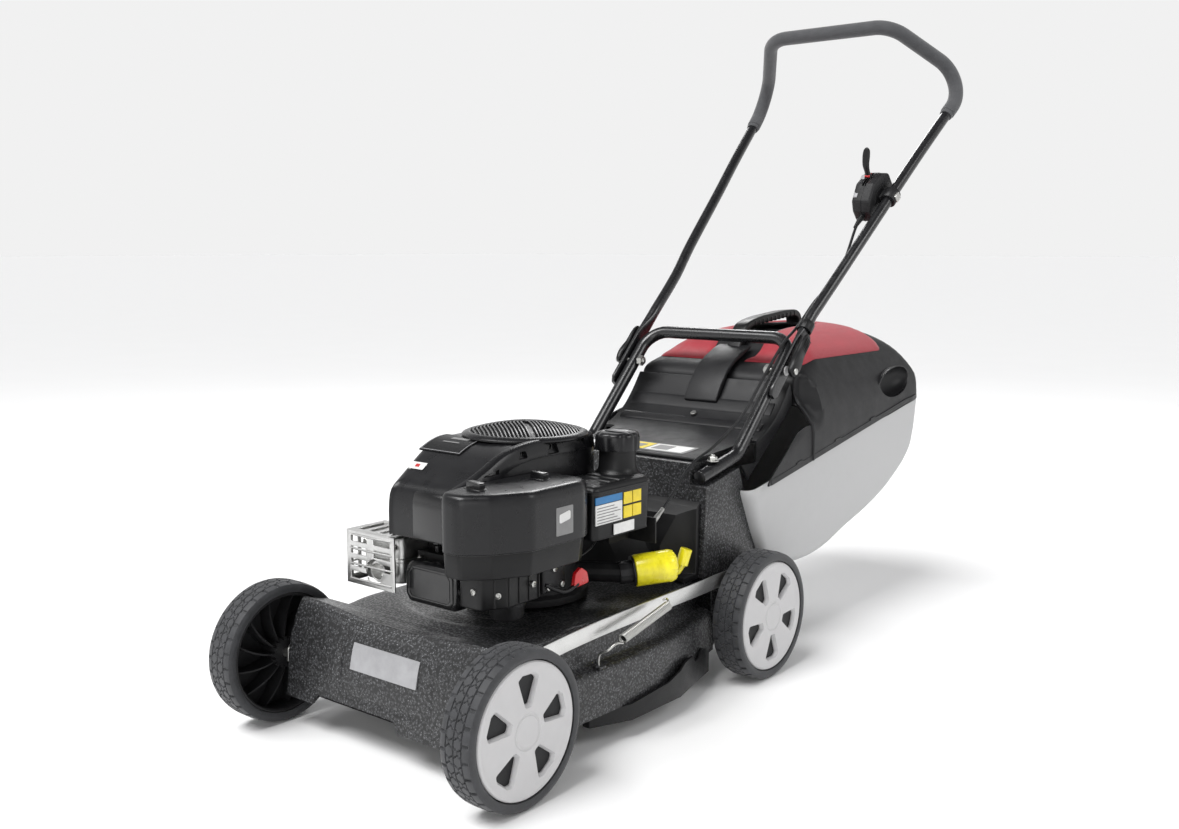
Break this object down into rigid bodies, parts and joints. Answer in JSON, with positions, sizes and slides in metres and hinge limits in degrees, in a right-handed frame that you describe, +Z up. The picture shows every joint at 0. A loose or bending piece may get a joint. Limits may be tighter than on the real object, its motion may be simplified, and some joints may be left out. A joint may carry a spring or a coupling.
{
  "type": "push lawn mower",
  "caption": "Petrol rotary push mower: steel deck, four wheels on cranked axles, folding tube handle with throttle, rear flap and lift-off grass catcher.",
  "frame": {"origin": "on the ground, at the middle of the mower's footprint", "axes": "+Z up, -Y towards the front of the mower, +X towards the operator's left"},
  "size_m": [0.5146, 1.399, 1.1013],
  "materials": {
    "tyre": "matte moulded tread",
    "rim": "satin black",
    "wheel_cover": "satin light grey",
    "steel": "zinc plated",
    "deck_paint": "hammertone charcoal with silver flecks",
    "black_plastic": "fine-grained black",
    "charcoal_plastic": "fine-grained charcoal",
    "engine_casting": "black-painted casting",
    "engine_gloss": "gloss black",
    "engine_shroud": "satin charcoal",
    "muffler_steel": "bright pressed steel",
    "yellow_parts": "gloss yellow",
    "red_knob": "satin red",
    "tube_paint": "satin black powder coat",
    "foam_grip": "dark grey foam",
    "cable": "black sheath",
    "red_panel": "matte red",
    "bin_plastic": "satin light grey"
  },
  "bodies": {
    "chassis": {"deck_pan": "deck_paint", "front_panel": "deck_paint", "rear_tunnel": "deck_paint", "side_skirt_left": "black_plastic", "side_skirt_right": "black_plastic", "tunnel_cowl": "black_plastic", "lower_handle": "tube_paint", "handle_bolt_left": "steel", "handle_bolt_right": "steel", "pivot_bolt_left": "steel", "pivot_bolt_right": "steel", "engine_block": "engine_casting", "valve_cover": "engine_gloss", "shroud": "engine_shroud", "starter_grille": "engine_shroud", "air_filter_base": "black_plastic", "air_filter_cover": "engine_shroud", "fuel_tank": "black_plastic", "muffler": "muffler_steel", "muffler_guard": "muffler_steel", "spark_plug": "engine_gloss", "oil_filter": "yellow_parts", "dipstick": "yellow_parts", "throttle_cable": "cable", "height_spring": "steel"},
    "rotor": {"crankshaft": "steel", "flywheel": "engine_casting", "blade_disc": "steel"},
    "blade_a": {"blade_a": "steel"},
    "blade_b": {"blade_b": "steel"},
    "fuel_cap": {"fuel_cap": "engine_shroud"},
    "fuel_tap": {"fuel_tap": "red_knob"},
    "starter_handle": {"starter_handle": "black_plastic"},
    "front_axle": {"front_axle": "steel"},
    "rear_axle": {"rear_axle": "steel"},
    "height_link": {"height_link": "steel"},
    "front_wheel_left": {"front_tyre_left": "tyre", "front_rim_left": "rim", "front_cover_left": "wheel_cover"},
    "front_wheel_right": {"front_tyre_right": "tyre", "front_rim_right": "rim", "front_cover_right": "wheel_cover"},
    "rear_wheel_left": {"rear_tyre_left": "tyre", "rear_rim_left": "rim", "rear_cover_left": "wheel_cover"},
    "rear_wheel_right": {"rear_tyre_right": "tyre", "rear_rim_right": "rim", "rear_cover_right": "wheel_cover"},
    "upper_handle": {"upper_handle": "tube_paint", "handle_grip": "foam_grip", "throttle_body": "black_plastic", "cable_clip": "black_plastic"},
    "throttle_lever": {"throttle_lever": "black_plastic"},
    "cam_lever_left": {"cam_lever_left": "black_plastic"},
    "cam_lever_right": {"cam_lever_right": "black_plastic"},
    "rear_flap": {"rear_flap": "charcoal_plastic"},
    "catcher": {"catcher_top": "charcoal_plastic", "catcher_vent": "red_panel", "catcher_bin": "bin_plastic"}
  },
  "joints": [
    {"name": "rotor_spin", "type": "hinge", "parent": "chassis", "child": "rotor", "pos_m": [0, -0.31794, 0.1], "axis": [0, 0, 1], "continuous": true},
    {"name": "blade_a_swing", "type": "hinge", "parent": "rotor", "child": "blade_a", "pos_m": [0.114, -0.31794, 0.067], "axis": [0, 0, 1], "range_deg": [-60, 45]},
    {"name": "blade_b_swing", "type": "hinge", "parent": "rotor", "child": "blade_b", "pos_m": [-0.114, -0.31794, 0.067], "axis": [0, 0, 1], "range_deg": [-60, 45]},
    {"name": "fuel_cap_turn", "type": "hinge", "parent": "chassis", "child": "fuel_cap", "pos_m": [0.108, -0.23594, 0.39], "axis": [0, 0, 1], "range_deg": [0, 120]},
    {"name": "fuel_tap_turn", "type": "hinge", "parent": "chassis", "child": "fuel_tap", "pos_m": [0.146, -0.37594, 0.226], "axis": [1, 0, 0], "range_deg": [0, 90]},
    {"name": "starter_pull", "type": "slide", "parent": "chassis", "child": "starter_handle", "axis": [-0.2, 0.3, 0.9327], "range_m": [0, 0.25], "stiffness_N_per_m": 15},
    {"name": "height_adjust", "type": "hinge", "parent": "chassis", "child": "front_axle", "pos_m": [0, -0.55594, 0.1016], "axis": [1, 0, 0], "range_deg": [-20, 28]},
    {"name": "rear_axle_turn", "type": "hinge", "parent": "chassis", "child": "rear_axle", "pos_m": [0, 0.04006, 0.1016], "axis": [1, 0, 0], "range_deg": [-20, 28]},
    {"name": "height_link_turn", "type": "hinge", "parent": "front_axle", "child": "height_link", "pos_m": [0.2, -0.53794, 0.1596], "axis": [1, 0, 0], "range_deg": [-28, 20]},
    {"name": "front_wheel_left_spin", "type": "hinge", "parent": "front_axle", "child": "front_wheel_left", "pos_m": [0.2318, -0.59794, 0.1016], "axis": [1, 0, 0], "continuous": true},
    {"name": "front_wheel_right_spin", "type": "hinge", "parent": "front_axle", "child": "front_wheel_right", "pos_m": [-0.2318, -0.59794, 0.1016], "axis": [1, 0, 0], "continuous": true},
    {"name": "rear_wheel_left_spin", "type": "hinge", "parent": "rear_axle", "child": "rear_wheel_left", "pos_m": [0.2122, -0.00194, 0.1016], "axis": [1, 0, 0], "continuous": true},
    {"name": "rear_wheel_right_spin", "type": "hinge", "parent": "rear_axle", "child": "rear_wheel_right", "pos_m": [-0.2122, -0.00194, 0.1016], "axis": [1, 0, 0], "continuous": true},
    {"name": "handle_fold", "type": "hinge", "parent": "chassis", "child": "upper_handle", "pos_m": [0, 0.14006, 0.47432], "axis": [1, 0, 0], "range_deg": [0, 130], "deforming": ["throttle_cable"]},
    {"name": "throttle_move", "type": "hinge", "parent": "upper_handle", "child": "throttle_lever", "pos_m": [0.156, 0.43681, 0.80497], "axis": [0.9963, -0.0638, -0.0575], "range_deg": [-25, 25]},
    {"name": "cam_left", "type": "hinge", "parent": "upper_handle", "child": "cam_lever_left", "pos_m": [0.1782, 0.14006, 0.47432], "axis": [0, 0.7195, -0.6945], "range_deg": [0, 90]},
    {"name": "cam_right", "type": "hinge", "parent": "upper_handle", "child": "cam_lever_right", "pos_m": [-0.1782, 0.14006, 0.47432], "axis": [0, -0.7195, 0.6945], "range_deg": [0, 90]},
    {"name": "flap_lift", "type": "hinge", "parent": "chassis", "child": "rear_flap", "pos_m": [0, -0.06794, 0.351], "axis": [1, 0, 0], "range_deg": [0, 3.5]},
    {"name": "catcher_off", "type": "slide", "parent": "chassis", "child": "catcher", "axis": [0, 1, 0], "range_m": [0, 0.35]}
  ],
  "couplings": [
    {"joint": "rear_axle_turn", "follows": "height_adjust", "ratio": 1},
    {"joint": "height_link_turn", "follows": "height_adjust", "ratio": -1}
  ]
}
